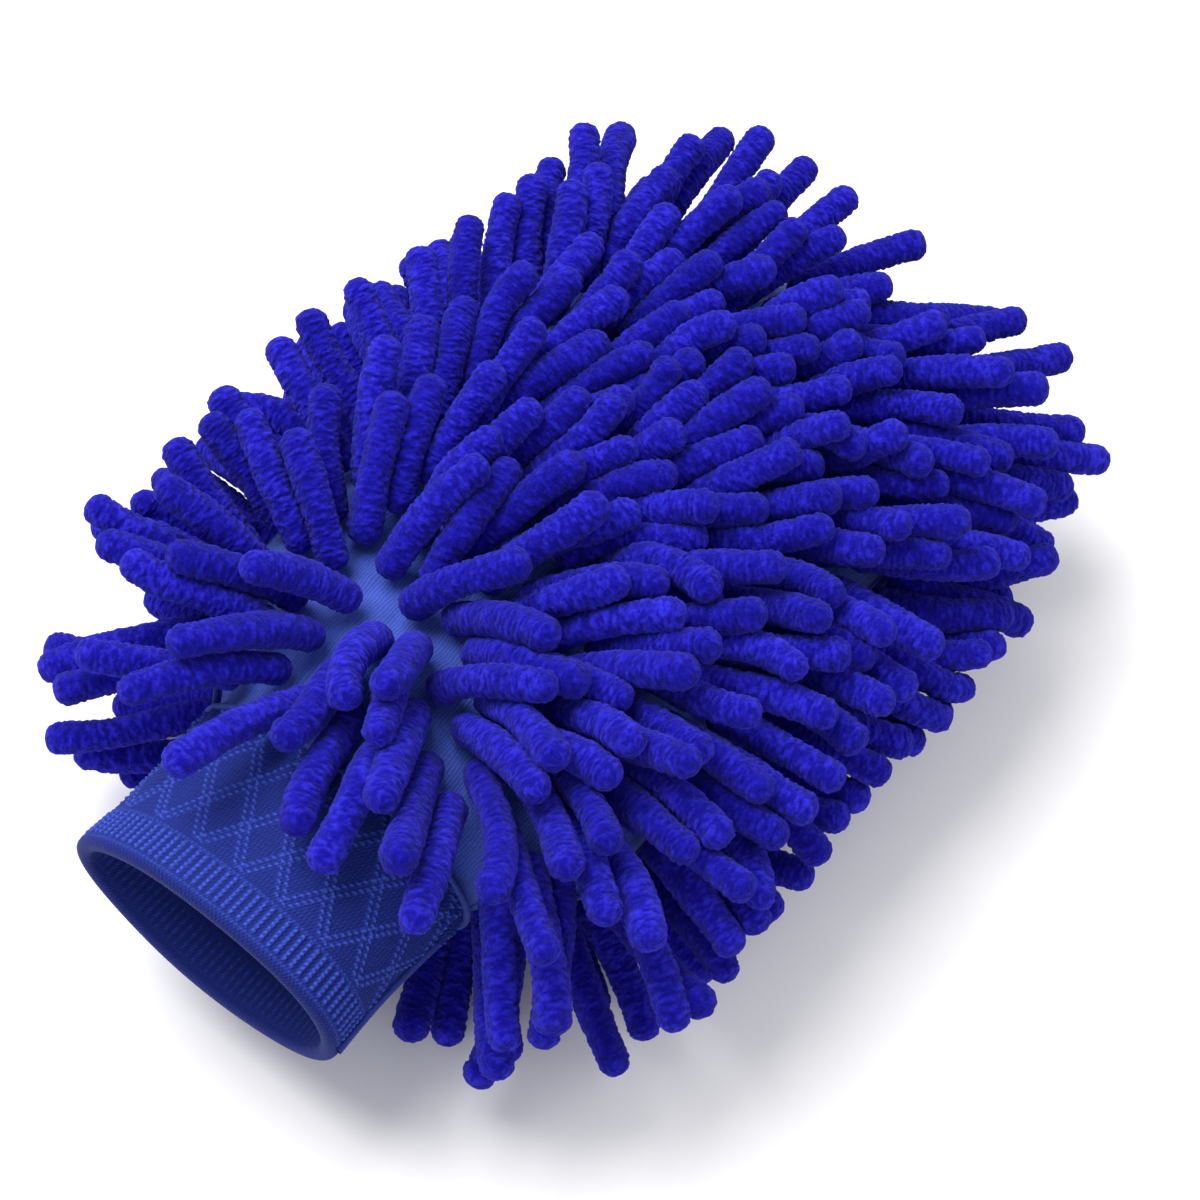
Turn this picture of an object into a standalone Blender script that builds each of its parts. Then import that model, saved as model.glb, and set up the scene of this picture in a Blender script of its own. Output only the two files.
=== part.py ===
"""Chenille wash mitt, shaped as it is when worn: a flattened fabric pouch covered on both sides with
rows of chenille noodles, a liner inside it, and a knitted elastic cuff at its mouth.

Lengths are in metres. The mitt frame has +X from the cuff to the fingertips, +Y across and +Z up, with
x = 0 at the seam between cuff and pouch and z = 0 at the seam round the pouch. At the end the whole
assembly is moved so that the centre of its underside is at the world's origin.
"""

import math

import bmesh
import bpy
import numpy as np
from mathutils import Vector

# Pouch, outside of the fabric
POUCH_LENGTH = 0.196
HALF_WIDTH = 0.059
CORNER_RADIUS = 0.038
PALM_HALF_HEIGHT = 0.022
FINGER_HALF_HEIGHT = 0.013
PALM_END = 0.078
NOSE_LENGTH = 0.030
FLARE_LENGTH = 0.030
PANEL_THICKNESS = 0.0012
LINER_INSET = 0.0022
LINER_THICKNESS = 0.0008
SEAM_GAP = 0.0004
FLARE_STEPS = 6
BODY_STEPS = 4
NOSE_STEPS = 5
ROUND_CELLS = 12
MOUTH_ROUNDNESS = 1.0
POUCH_ROUNDNESS = 0.8

# Mouth and cuff
MOUTH_HALF_WIDTH = 0.038
MOUTH_HALF_HEIGHT = 0.023
GATHER_LENGTH = 0.009
CUFF_LENGTH = 0.036
CUFF_WAIST = 0.0008
KNIT_THICKNESS = 0.0014
KNIT_LAYER_SPACING = 0.003
ELASTIC_WIDTH = 0.008
ELASTIC_THICKNESS = 0.0009
ELASTIC_SETBACK = 0.0016
ROUND_STEPS = 36

# Stitching
THREAD_RADIUS = 0.0008
PIECE_GAP = 0.0003
PERIMETER_START = 0.004

# Chenille
NOODLE_RADIUS = 0.0036
NOODLE_LENGTH = 0.035
ROOT_SHARE = 0.28
TIP_SHARE = 0.85
BEND_SHARE = 0.45
START_LEAN = math.radians(45)
END_LEAN = math.radians(75)
LANE_SPACING = 0.0093
LANES_EACH_SIDE = 7
NOODLE_PITCH = 0.0165
LANE_START = 0.005
FIRST_NOODLE = 0.007
SEAM_MARGIN = 0.0050
NOSE_LIMIT = 0.5
TAPE_GAP = 0.0006
TAPE_WIDTH = 0.0036
TAPE_THICKNESS = 0.0014
TAPE_END = 0.003
TAPE_TURN = math.cos(math.radians(9))
TAPE_STEP = 0.024
PARTING = 0.040
PARTING_SOFTNESS = 0.004
LEAST_COMBING = 0.75
SIDE_FAN = 0.7
SIDE_LIFT = 0.6
REST_LEVEL = -0.0428

# Sampling
ARC_SAMPLES = 65
LANE_SAMPLES = 400
NORMAL_STEP = 0.0004


# ---------------------------------------------------------------- the pouch's form


def smoothstep(value):
    t = min(1.0, max(0.0, value))
    return t * t * (3 - 2 * t)


def half_width(s):
    """Half the pouch's width at distance s from the mouth: a flare, straight sides, then round corners."""
    flared = MOUTH_HALF_WIDTH + (HALF_WIDTH - MOUTH_HALF_WIDTH) * smoothstep(s / FLARE_LENGTH)
    past = max(0.0, s - (POUCH_LENGTH - CORNER_RADIUS))
    rounded = math.sqrt(max(0.0, CORNER_RADIUS**2 - past**2))
    return flared - CORNER_RADIUS + rounded


def half_height(s):
    """Half the pouch's thickness at s: full over the palm, thinner over the fingers, closed at the nose."""
    finger_share = smoothstep((s - PALM_END) / (POUCH_LENGTH - PALM_END))
    mouth_share = 1 - smoothstep(s / FLARE_LENGTH)
    palm = PALM_HALF_HEIGHT + (MOUTH_HALF_HEIGHT - PALM_HALF_HEIGHT) * mouth_share
    open_height = palm + (FINGER_HALF_HEIGHT - PALM_HALF_HEIGHT) * finger_share
    nose = max(0.0, (s - (POUCH_LENGTH - NOSE_LENGTH)) / NOSE_LENGTH)
    return open_height * math.sqrt(max(0.0, 1 - nose**2))


def section_shares(s, angle):
    """Shares of the half width and half height at an angle: an oval at the mouth, boxier further on."""
    mouth_share = 1 - smoothstep(s / FLARE_LENGTH)
    power = POUCH_ROUNDNESS + (MOUTH_ROUNDNESS - POUCH_ROUNDNESS) * mouth_share
    across = math.copysign(abs(math.sin(angle)) ** power, angle)
    return across, max(0.0, math.cos(angle)) ** power


def pouch_point(s, angle, side):
    """A point of the pouch. The angle is 0 at the crown and a right angle at the side seams."""
    across, up = section_shares(s, angle)
    return Vector((s, half_width(s) * across, side * (SEAM_GAP + half_height(s) * up)))


def pouch_normal(s, angle, side):
    """The outward normal, from two short steps on the surface."""
    s = min(s, POUCH_LENGTH - 2 * NORMAL_STEP)
    low = max(0.0, s - NORMAL_STEP)
    high = s + NORMAL_STEP
    along = pouch_point(high, angle, side) - pouch_point(low, angle, side)
    turn = NORMAL_STEP / HALF_WIDTH
    across = pouch_point(s, angle + turn, side) - pouch_point(s, angle - turn, side)
    return (along.cross(across) * side).normalized()


def surface_frame(s, angle, side):
    return pouch_point(s, angle, side), pouch_normal(s, angle, side)


def crown_arc(s):
    """(angles, distances from the crown) along a quarter of the section at s."""
    angles = np.linspace(0, math.pi / 2, ARC_SAMPLES)
    shares = np.array([section_shares(s, angle) for angle in angles])
    across = half_width(s) * shares[:, 0]
    up = half_height(s) * shares[:, 1]
    steps = np.hypot(np.diff(across), np.diff(up))
    return angles, np.concatenate([[0.0], np.cumsum(steps)])


# ---------------------------------------------------------------- Blender helpers


def clear_scene():
    for obj in list(bpy.data.objects):
        bpy.data.objects.remove(obj)


def new_collection(name):
    collection = bpy.data.collections.new(name)
    bpy.context.scene.collection.children.link(collection)
    return collection


def fabric(name, colour, roughness):
    material = bpy.data.materials.new(name)
    material.use_nodes = True
    shader = material.node_tree.nodes["Principled BSDF"]
    shader.inputs["Base Color"].default_value = (*colour, 1.0)
    shader.inputs["Roughness"].default_value = roughness
    shader.inputs["Metallic"].default_value = 0.0
    return material


def place(obj, material, collection):
    """Gives an object its material and moves it into the mitt's collection."""
    for holder in list(obj.users_collection):
        holder.objects.unlink(obj)
    collection.objects.link(obj)
    obj.data.materials.clear()
    obj.data.materials.append(material)
    return obj


def tube_curve(name, lines, radius, resolution, cyclic=False):
    """A curve object of round tubes. Each line is a list of (point, share of the radius)."""
    data = bpy.data.curves.new(name, "CURVE")
    data.dimensions = "3D"
    data.bevel_depth = radius
    data.bevel_resolution = resolution
    data.use_fill_caps = not cyclic
    for line in lines:
        spline = data.splines.new("POLY")
        spline.points.add(len(line) - 1)
        spline.use_cyclic_u = cyclic
        for target, (point, share) in zip(spline.points, line):
            target.co = (*point, 1.0)
            target.radius = share
    obj = bpy.data.objects.new(name, data)
    bpy.context.scene.collection.objects.link(obj)
    return obj


def as_mesh(obj):
    """Replaces an object by the mesh that its curve and modifiers make, with the loose caps welded on."""
    bpy.context.view_layer.update()
    graph = bpy.context.evaluated_depsgraph_get()
    mesh = bpy.data.meshes.new_from_object(obj.evaluated_get(graph))
    welded = bmesh.new()
    welded.from_mesh(mesh)
    bmesh.ops.remove_doubles(welded, verts=welded.verts, dist=1e-6)
    bmesh.ops.recalc_face_normals(welded, faces=welded.faces)
    if welded.calc_volume(signed=True) < 0:
        bmesh.ops.reverse_faces(welded, faces=welded.faces)
    welded.to_mesh(mesh)
    welded.free()
    made = bpy.data.objects.new(obj.name + "_mesh", mesh)
    made.matrix_world = obj.matrix_world
    bpy.context.scene.collection.objects.link(made)
    name = obj.name
    bpy.data.objects.remove(obj)
    made.name = name
    return made


def thicken(obj, thickness, offset):
    solidify = obj.modifiers.new("thickness", "SOLIDIFY")
    solidify.thickness = thickness
    solidify.offset = offset
    solidify.use_even_offset = True


# ---------------------------------------------------------------- pouch and liner


def stations():
    """Distances from the mouth for the panels' cross lines: close together in the flare and round the nose."""
    nose_start = POUCH_LENGTH - NOSE_LENGTH
    flare = np.linspace(0, FLARE_LENGTH, FLARE_STEPS + 1)
    body = np.linspace(FLARE_LENGTH, nose_start, BODY_STEPS + 1)[1:]
    turns = np.linspace(0, math.pi / 2, NOSE_STEPS + 1)[1:]
    return [*flare, *body, *(nose_start + NOSE_LENGTH * np.sin(turns))]


def panel(name, side, inset, thickness, material, collection):
    """One half of a bag: a grid laid over the pouch's form and thickened inwards."""
    lines = stations()
    cells = len(lines) - 1
    bpy.ops.mesh.primitive_grid_add(x_subdivisions=cells, y_subdivisions=ROUND_CELLS, size=1.0)
    obj = bpy.context.active_object
    obj.name = name
    for vertex in obj.data.vertices:
        s = lines[round((vertex.co.x + 0.5) * cells)]
        angle = vertex.co.y * math.pi
        vertex.co = pouch_point(s, angle, side) - pouch_normal(s, angle, side) * inset
    if side < 0:
        obj.data.flip_normals()
    thicken(obj, thickness, -1.0)
    half = as_mesh(obj)
    for vertex in half.data.vertices:
        vertex.co.x = max(PIECE_GAP, vertex.co.x)
        vertex.co.z = side * max(SEAM_GAP, side * vertex.co.z)
    half.data.shade_smooth()
    return place(half, material, collection)


def outline_points(outward):
    """The pouch's outline in plan, from the mouth round the fingertips and back, set out by outward."""
    half = [(s, half_width(s)) for s in stations()]
    half[0] = (PERIMETER_START, half_width(PERIMETER_START))
    full = half + [(s, -y) for s, y in reversed(half)]
    flat = [Vector((s, y, 0.0)) for s, y in full]
    moved = []
    for i, point in enumerate(flat):
        along = flat[min(i + 1, len(flat) - 1)] - flat[max(i - 1, 0)]
        moved.append(point + Vector((-along.y, along.x, 0.0)).normalized() * outward)
    return moved


def perimeter_seam(material, collection):
    """The overlocked edge that joins both panels and both liners, all round but the mouth."""
    points = outline_points(THREAD_RADIUS + PIECE_GAP + SEAM_GAP)
    line = [(point, 1.0) for point in points]
    place(as_mesh(tube_curve("perimeter_seam", [line], THREAD_RADIUS, 0)), material, collection)


# ---------------------------------------------------------------- cuff


def oval_ring(s, grow, steps=ROUND_STEPS):
    """Points of the mouth's oval at s, grown outwards by the same distance all round."""
    turns = [2 * math.pi * i / steps for i in range(steps)]
    width = MOUTH_HALF_WIDTH + grow
    height = MOUTH_HALF_HEIGHT + grow
    return [Vector((s, width * math.cos(t), height * math.sin(t))) for t in turns]


def flatten_to_oval(obj):
    """Presses a shape turned about X into the mouth's oval, keeping the spacing of its walls."""
    difference = MOUTH_HALF_WIDTH - MOUTH_HALF_HEIGHT
    for vertex in obj.data.vertices:
        radius = math.hypot(vertex.co.y, vertex.co.z)
        vertex.co.z *= (radius - difference) / radius


def turned(name, profile, material, collection):
    """A sheet turned about the cuff's axis from (x, radius) points, pressed oval and given the knit's wall."""
    mesh = bpy.data.meshes.new(name)
    edges = [(i, i + 1) for i in range(len(profile) - 1)]
    mesh.from_pydata([(x, radius, 0.0) for x, radius in profile], edges, [])
    obj = bpy.data.objects.new(name, mesh)
    bpy.context.scene.collection.objects.link(obj)
    screw = obj.modifiers.new("turn", "SCREW")
    screw.axis = "X"
    screw.steps = ROUND_STEPS
    screw.render_steps = ROUND_STEPS
    screw.use_merge_vertices = True
    screw.merge_threshold = 1e-5
    obj = as_mesh(obj)
    flatten_to_oval(obj)
    obj.data.shade_smooth()
    return place(obj, material, collection)


def cuff(material, collection):
    """The knitted cuff, one piece of knit folded back at the rim into an outer and an inner wall."""
    start = -GATHER_LENGTH - PIECE_GAP - KNIT_THICKNESS / 2
    rim = -GATHER_LENGTH - CUFF_LENGTH + KNIT_THICKNESS / 2
    middle = (start + rim) / 2
    outer = MOUTH_HALF_WIDTH
    inner = outer - KNIT_LAYER_SPACING
    profile = [
        (start, outer),
        (middle, outer - CUFF_WAIST),
        (rim, outer),
        (rim, inner),
        (middle, inner - CUFF_WAIST),
        (start, inner),
    ]
    knit = turned("cuff", profile, material, collection)
    thicken(knit, KNIT_THICKNESS, 0.0)


def cuff_elastic(material, collection):
    """The elastic band that lies between the cuff's two walls, next to the fold."""
    rim = -GATHER_LENGTH - CUFF_LENGTH
    near = rim + KNIT_THICKNESS + ELASTIC_SETBACK
    radius = MOUTH_HALF_WIDTH - KNIT_LAYER_SPACING / 2
    slope = 2 * CUFF_WAIST / CUFF_LENGTH
    profile = [(x, radius - slope * (x - rim)) for x in (near + ELASTIC_WIDTH, near)]
    band = turned("cuff_elastic", profile, material, collection)
    thicken(band, ELASTIC_THICKNESS, 0.0)


def cuff_gather(material, collection):
    """The stretch of knit that is gathered into the pouch's mouth and gives when the wrist bends."""
    profile = [(-PIECE_GAP, MOUTH_HALF_WIDTH), (-GATHER_LENGTH + PIECE_GAP, MOUTH_HALF_WIDTH)]
    ring = turned("cuff_gather", profile, material, collection)
    thicken(ring, KNIT_THICKNESS, -1.0)


def cuff_side_seam(material, collection):
    """The overlock that closes the cuff's knit into a tube, along its outer side."""
    out = MOUTH_HALF_WIDTH + KNIT_THICKNESS / 2 + PIECE_GAP + THREAD_RADIUS
    start = -GATHER_LENGTH - PIECE_GAP
    end = start - CUFF_LENGTH + ELASTIC_SETBACK
    middle = (start + end) / 2
    line = [
        (Vector((start, -out, 0.0)), 1.0),
        (Vector((middle, -out + CUFF_WAIST / 2, 0.0)), 1.0),
        (Vector((end, -out, 0.0)), 1.0),
    ]
    place(as_mesh(tube_curve("cuff_side_seam", [line], THREAD_RADIUS, 1)), material, collection)


def mouth_seam(material, collection):
    """The overlock that joins the gathered knit to the pouch's mouth."""
    points = oval_ring(0.0, THREAD_RADIUS + PIECE_GAP + SEAM_GAP)
    line = [(point, 1.0) for point in points]
    ring = tube_curve("mouth_seam", [line], THREAD_RADIUS, 0, cyclic=True)
    place(as_mesh(ring), material, collection)


# ---------------------------------------------------------------- chenille


def lane_path(distance, side):
    """Samples (s, angle, length along the lane) of a lane that runs at one distance from the crown."""
    found = []
    for s in np.linspace(LANE_START, POUCH_LENGTH, LANE_SAMPLES):
        angles, arc = crown_arc(s)
        if abs(distance) > arc[-1] - SEAM_MARGIN:
            continue
        angle = math.copysign(float(np.interp(abs(distance), arc, angles)), distance)
        if pouch_normal(s, angle, side).x < NOSE_LIMIT:
            found.append((float(s), angle))
    points = [pouch_point(s, angle, side) for s, angle in found]
    along = [0.0]
    for before, after in zip(points, points[1:]):
        along.append(along[-1] + (after - before).length)
    return [(s, angle, length) for (s, angle), length in zip(found, along)]


def on_lane(path, length):
    """(s, angle) at a length along a lane."""
    lengths = [sample[2] for sample in path]
    s = float(np.interp(length, lengths, [sample[0] for sample in path]))
    angle = float(np.interp(length, lengths, [sample[1] for sample in path]))
    return s, angle


def comb_direction(point, normal):
    """The way the pile is combed: away from a parting near the cuff, and out towards the sides."""
    along = math.tanh((point.x - PARTING) / PARTING_SOFTNESS)
    outward = SIDE_FAN * point.y / HALF_WIDTH * max(0.0, 2 * abs(normal.z) - 1)
    comb = Vector((along, outward, 0.0))
    return comb - normal * comb.dot(normal)


def noodle_line(s, angle, side):
    """The centre line of one noodle, an arc that leaves the fabric and bends the way it is combed."""
    point, normal = surface_frame(s, angle, side)
    comb = comb_direction(point, normal)
    upright = SIDE_LIFT * (1 - abs(normal.z))
    amount = min(1.0, LEAST_COMBING + comb.length) * (1 - upright)
    comb = comb.normalized()
    start = START_LEAN * amount
    turn = (END_LEAN - START_LEAN) * amount
    height = TAPE_GAP + TAPE_THICKNESS / 2
    bend_radius = NOODLE_LENGTH / max(turn, 1e-3)
    line = []
    for share, thick in ((0.0, ROOT_SHARE), (BEND_SHARE, 1.0), (1.0, TIP_SHARE)):
        lean = start + turn * share
        rise = bend_radius * (math.sin(lean) - math.sin(start))
        reach = bend_radius * (math.cos(start) - math.cos(lean))
        line.append((point + normal * (height + rise) + comb * reach, thick))
    return line


def tape_stations(path, first, last):
    """Lengths along a lane for the tape's cross lines: close together only where the pouch curves."""
    start = max(0.0, first - TAPE_END)
    end = min(path[-1][2], last + TAPE_END)
    inside = [sample for sample in path if start <= sample[2] <= end]
    kept = [inside[0]]
    for before, sample in zip(inside, inside[1:]):
        turned_by = surface_frame(*kept[-1][:2], 1)[1].dot(surface_frame(*sample[:2], 1)[1])
        if turned_by < TAPE_TURN or sample[2] - kept[-1][2] > TAPE_STEP:
            kept.append(before)
    return kept + [inside[-1]]


def stitch_tape(name, path, first, last, side):
    """The flat tape a lane's noodles are caught in, laid on the fabric along the lane."""
    rows = []
    for s, angle, _ in tape_stations(path, first, last):
        point, normal = surface_frame(s, angle, side)
        across = normal.cross(Vector((1, 0, 0))).normalized()
        middle = point + normal * (TAPE_GAP + TAPE_THICKNESS / 2)
        rows += [middle - across * TAPE_WIDTH / 2, middle + across * TAPE_WIDTH / 2]
    faces = [(i, i + 1, i + 3, i + 2) for i in range(0, len(rows) - 2, 2)]
    mesh = bpy.data.meshes.new(name)
    mesh.from_pydata(rows, [], faces)
    obj = bpy.data.objects.new(name, mesh)
    bpy.context.scene.collection.objects.link(obj)
    thicken(obj, TAPE_THICKNESS, 0.0)
    return as_mesh(obj)


def rest_surface(material, cutters):
    """A slab under the mitt, which presses the lowest noodles flat where they carry it."""
    bpy.ops.mesh.primitive_cube_add(size=1.0, location=(POUCH_LENGTH / 2, 0, REST_LEVEL - 0.05))
    slab = bpy.context.active_object
    slab.name = "rest_surface"
    for vertex in slab.data.vertices:
        vertex.co *= Vector((4 * POUCH_LENGTH, 4 * HALF_WIDTH, 0.1))
    slab.hide_render = True
    slab.display_type = "WIRE"
    return place(slab, material, cutters)


def chenille_lane(name, distance, side, stagger, rest, material, collection, cutters):
    """One row of chenille from the cuff to the fingertips: its tape and every noodle on it, joined."""
    path = lane_path(distance, side)
    whole = path[-1][2]
    first = FIRST_NOODLE + NOODLE_PITCH / 2 * stagger
    count = int((whole - first) / NOODLE_PITCH) + 1
    roots = [first + NOODLE_PITCH * i for i in range(count)]
    noodles = [noodle_line(*on_lane(path, root), side) for root in roots]
    pile = as_mesh(tube_curve(name + "_pile", noodles, NOODLE_RADIUS, 1))
    pile.hide_render = True
    pile.display_type = "WIRE"
    place(pile, material, cutters)
    lane = stitch_tape(name, path, roots[0], roots[-1], side)
    join = lane.modifiers.new("noodles", "BOOLEAN")
    join.operation = "UNION"
    join.object = pile
    if side < 0:
        press = lane.modifiers.new("pressed_tips", "BOOLEAN")
        press.operation = "DIFFERENCE"
        press.object = rest
    place(lane, material, collection)
    return count


def chenille(material, collection, cutters):
    total = 0
    rest = rest_surface(material, cutters)
    for side, label in ((1, "top"), (-1, "bottom")):
        for i in range(2 * LANES_EACH_SIDE):
            distance = (i - LANES_EACH_SIDE + 0.5) * LANE_SPACING
            name = f"{label}_noodle_row_{i + 1:02d}"
            total += chenille_lane(name, distance, side, i % 2, rest, material, collection, cutters)
    return total


# ---------------------------------------------------------------- assembly


def stand_on_origin(collection, cutters):
    """Hangs everything on one empty, placed so that the centre of the underside is at the origin."""
    bpy.context.view_layer.update()
    graph = bpy.context.evaluated_depsgraph_get()
    corners = [
        obj.matrix_world @ Vector(corner)
        for obj in collection.objects
        for corner in obj.evaluated_get(graph).bound_box
    ]
    low = Vector([min(corner[k] for corner in corners) for k in range(3)])
    high = Vector([max(corner[k] for corner in corners) for k in range(3)])
    mitt = bpy.data.objects.new("mitt", None)
    bpy.context.scene.collection.objects.link(mitt)
    for obj in [*collection.objects, *cutters.objects]:
        obj.parent = mitt
    mitt.location = (-(low.x + high.x) / 2, -(low.y + high.y) / 2, -low.z)
    return mitt


def main():
    clear_scene()
    mitt = new_collection("wash_mitt")
    cutters = new_collection("joined_shapes")
    chenille_blue = fabric("chenille", (0.02, 0.012, 0.46), 0.95)
    base_blue = fabric("base_knit", (0.05, 0.10, 0.60), 0.75)
    lining_blue = fabric("lining", (0.04, 0.07, 0.42), 0.8)
    cuff_blue = fabric("cuff_knit", (0.04, 0.10, 0.48), 0.85)
    thread_blue = fabric("thread", (0.03, 0.07, 0.42), 0.7)
    elastic_white = fabric("elastic", (0.75, 0.75, 0.73), 0.8)

    for side, label in ((1, "top"), (-1, "bottom")):
        panel(f"{label}_panel", side, 0.0, PANEL_THICKNESS, base_blue, mitt)
        panel(f"{label}_liner", side, LINER_INSET, LINER_THICKNESS, lining_blue, mitt)
    perimeter_seam(thread_blue, mitt)
    mouth_seam(thread_blue, mitt)
    cuff_gather(cuff_blue, mitt)
    cuff(cuff_blue, mitt)
    cuff_elastic(elastic_white, mitt)
    cuff_side_seam(thread_blue, mitt)
    count = chenille(chenille_blue, mitt, cutters)
    empty = stand_on_origin(mitt, cutters)
    print("noodles:", count, "seam frame at", [round(v, 5) for v in empty.location])


main()
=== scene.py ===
"""Looks of the chenille wash mitt: soft noodles laid over a knitted pouch, and a patterned knit cuff.

Lengths are in metres. The mitt frame has +X from cuff to fingertips, x = 0 at the mouth seam and z = 0
halfway through the thickness. ORIGIN takes it to the row frame.
"""

import math

import bpy
import numpy as np
from mathutils import Matrix, Vector
from mathutils.bvhtree import BVHTree


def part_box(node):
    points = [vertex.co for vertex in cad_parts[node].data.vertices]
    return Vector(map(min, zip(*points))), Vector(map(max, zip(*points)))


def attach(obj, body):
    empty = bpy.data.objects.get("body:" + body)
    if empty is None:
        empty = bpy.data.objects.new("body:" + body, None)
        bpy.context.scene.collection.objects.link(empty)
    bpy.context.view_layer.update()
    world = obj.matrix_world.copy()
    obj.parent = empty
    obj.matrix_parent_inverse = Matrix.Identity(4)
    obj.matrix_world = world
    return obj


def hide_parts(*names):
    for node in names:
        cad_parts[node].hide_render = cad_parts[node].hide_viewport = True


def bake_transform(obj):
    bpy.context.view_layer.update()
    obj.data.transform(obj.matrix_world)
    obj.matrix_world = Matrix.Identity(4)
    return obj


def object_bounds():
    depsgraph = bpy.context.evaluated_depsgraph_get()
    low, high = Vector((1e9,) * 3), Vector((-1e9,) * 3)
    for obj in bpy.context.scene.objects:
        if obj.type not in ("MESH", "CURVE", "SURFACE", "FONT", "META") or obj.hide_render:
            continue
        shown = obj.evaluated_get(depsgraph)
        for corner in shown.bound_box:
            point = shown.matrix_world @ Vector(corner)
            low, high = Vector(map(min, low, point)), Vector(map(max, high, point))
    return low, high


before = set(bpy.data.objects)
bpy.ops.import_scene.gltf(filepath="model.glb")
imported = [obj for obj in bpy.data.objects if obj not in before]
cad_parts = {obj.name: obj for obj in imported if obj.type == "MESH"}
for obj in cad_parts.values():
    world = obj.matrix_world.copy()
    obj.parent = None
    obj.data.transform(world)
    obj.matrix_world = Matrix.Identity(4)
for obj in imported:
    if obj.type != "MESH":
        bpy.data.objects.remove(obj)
cad_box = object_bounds()

# ---------------------------------------------------------------- sizes, as in the CAD

ring_low, ring_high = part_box("mouth_seam")
ORIGIN = np.array((ring_low + ring_high) / 2)

POUCH_LENGTH = 0.196
HALF_WIDTH = 0.059
CORNER_RADIUS = 0.038
PALM_HALF_HEIGHT = 0.022
FINGER_HALF_HEIGHT = 0.013
PALM_END = 0.078
NOSE_LENGTH = 0.030
FLARE_LENGTH = 0.030
MOUTH_HALF_WIDTH = 0.038
MOUTH_HALF_HEIGHT = 0.023
SEAM_GAP = 0.0004
GATHER_LENGTH = 0.009
CUFF_LENGTH = 0.036
CUFF_WAIST = 0.0008

# the cuff's knitted pattern, in millimetres round the cuff and up from its rim
CUFF_ROUND = 192.0
RIB_PITCH = CUFF_ROUND / 90
DIAMOND_WIDTH = CUFF_ROUND / 16
DIAMOND_HEIGHT = 19.0

# the noodles: more of them than in the CAD and a little thicker, in rows a little further apart
LANE_SPACING = 0.0097
LANES_EACH_SIDE = 7
NOODLE_PITCH = 0.0118
MOUTH_PITCH = 0.0102
NOODLE_LENGTH = 0.0360
NOODLE_RADIUS = 0.0040
LANE_START = 0.005
SEAM_MARGIN = 0.0030
NOSE_LIMIT = 0.5

# the cloth: the thickness of a panel
PANEL_THICKNESS = 0.0011

rng = np.random.default_rng(7)


# ---------------------------------------------------------------- the pouch's form


def smoothstep(value):
    t = np.clip(value, 0.0, 1.0)
    return t * t * (3 - 2 * t)


def half_width(s):
    """Half the pouch's width at distance s from the mouth."""
    flared = MOUTH_HALF_WIDTH + (HALF_WIDTH - MOUTH_HALF_WIDTH) * smoothstep(s / FLARE_LENGTH)
    past = np.maximum(0.0, s - (POUCH_LENGTH - CORNER_RADIUS))
    return flared - CORNER_RADIUS + np.sqrt(np.maximum(0.0, CORNER_RADIUS**2 - past**2))


def half_height(s):
    """Half the pouch's thickness at distance s from the mouth."""
    finger_share = smoothstep((s - PALM_END) / (POUCH_LENGTH - PALM_END))
    mouth_share = 1 - smoothstep(s / FLARE_LENGTH)
    palm = PALM_HALF_HEIGHT + (MOUTH_HALF_HEIGHT - PALM_HALF_HEIGHT) * mouth_share
    open_height = palm + (FINGER_HALF_HEIGHT - PALM_HALF_HEIGHT) * finger_share
    nose = np.maximum(0.0, (s - (POUCH_LENGTH - NOSE_LENGTH)) / NOSE_LENGTH)
    return open_height * np.sqrt(np.maximum(0.0, 1 - nose**2))


def pouch_point(s, angle, side):
    """Points of the pouch. The angle is 0 at the crown and a right angle at the side seams."""
    power = 0.8 + 0.2 * (1 - smoothstep(s / FLARE_LENGTH))
    across = np.sign(angle) * np.abs(np.sin(angle)) ** power
    up = np.maximum(0.0, np.cos(angle)) ** power
    y = half_width(s) * across
    z = side * (SEAM_GAP + half_height(s) * up)
    return np.stack([s + 0 * y, y, z], axis=-1)


def unit(vectors):
    return vectors / np.maximum(np.linalg.norm(vectors, axis=-1, keepdims=True), 1e-12)


def pouch_normal(s, angle, side):
    step = 0.0004
    s = np.clip(s, step, POUCH_LENGTH - 2 * step)
    turn = step / HALF_WIDTH
    along = pouch_point(s + step, angle, side) - pouch_point(s - step, angle, side)
    across = pouch_point(s, angle + turn, side) - pouch_point(s, angle - turn, side)
    return unit(np.cross(along, across) * side)


# ---------------------------------------------------------------- mesh helpers


def new_mesh(name, points, quads, tris=()):
    """A mesh object from arrays of points and of corner numbers, given in the mitt frame."""
    points = np.asarray(points, float).reshape(-1, 3) + ORIGIN
    quads = np.asarray(quads, np.int32).reshape(-1, 4)
    tris = np.asarray(tris, np.int32).reshape(-1, 3)
    mesh = bpy.data.meshes.new(name)
    mesh.vertices.add(len(points))
    mesh.vertices.foreach_set("co", points.astype(np.float32).ravel())
    mesh.loops.add(quads.size + tris.size)
    mesh.loops.foreach_set("vertex_index", np.concatenate([quads.ravel(), tris.ravel()]))
    starts = np.concatenate([np.arange(len(quads)) * 4, quads.size + np.arange(len(tris)) * 3])
    mesh.polygons.add(len(starts))
    mesh.polygons.foreach_set("loop_start", starts.astype(np.int32))
    mesh.update(calc_edges=True)
    mesh.validate()
    mesh.shade_smooth()
    obj = bpy.data.objects.new(name, mesh)
    bpy.context.scene.collection.objects.link(obj)
    return obj


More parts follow.
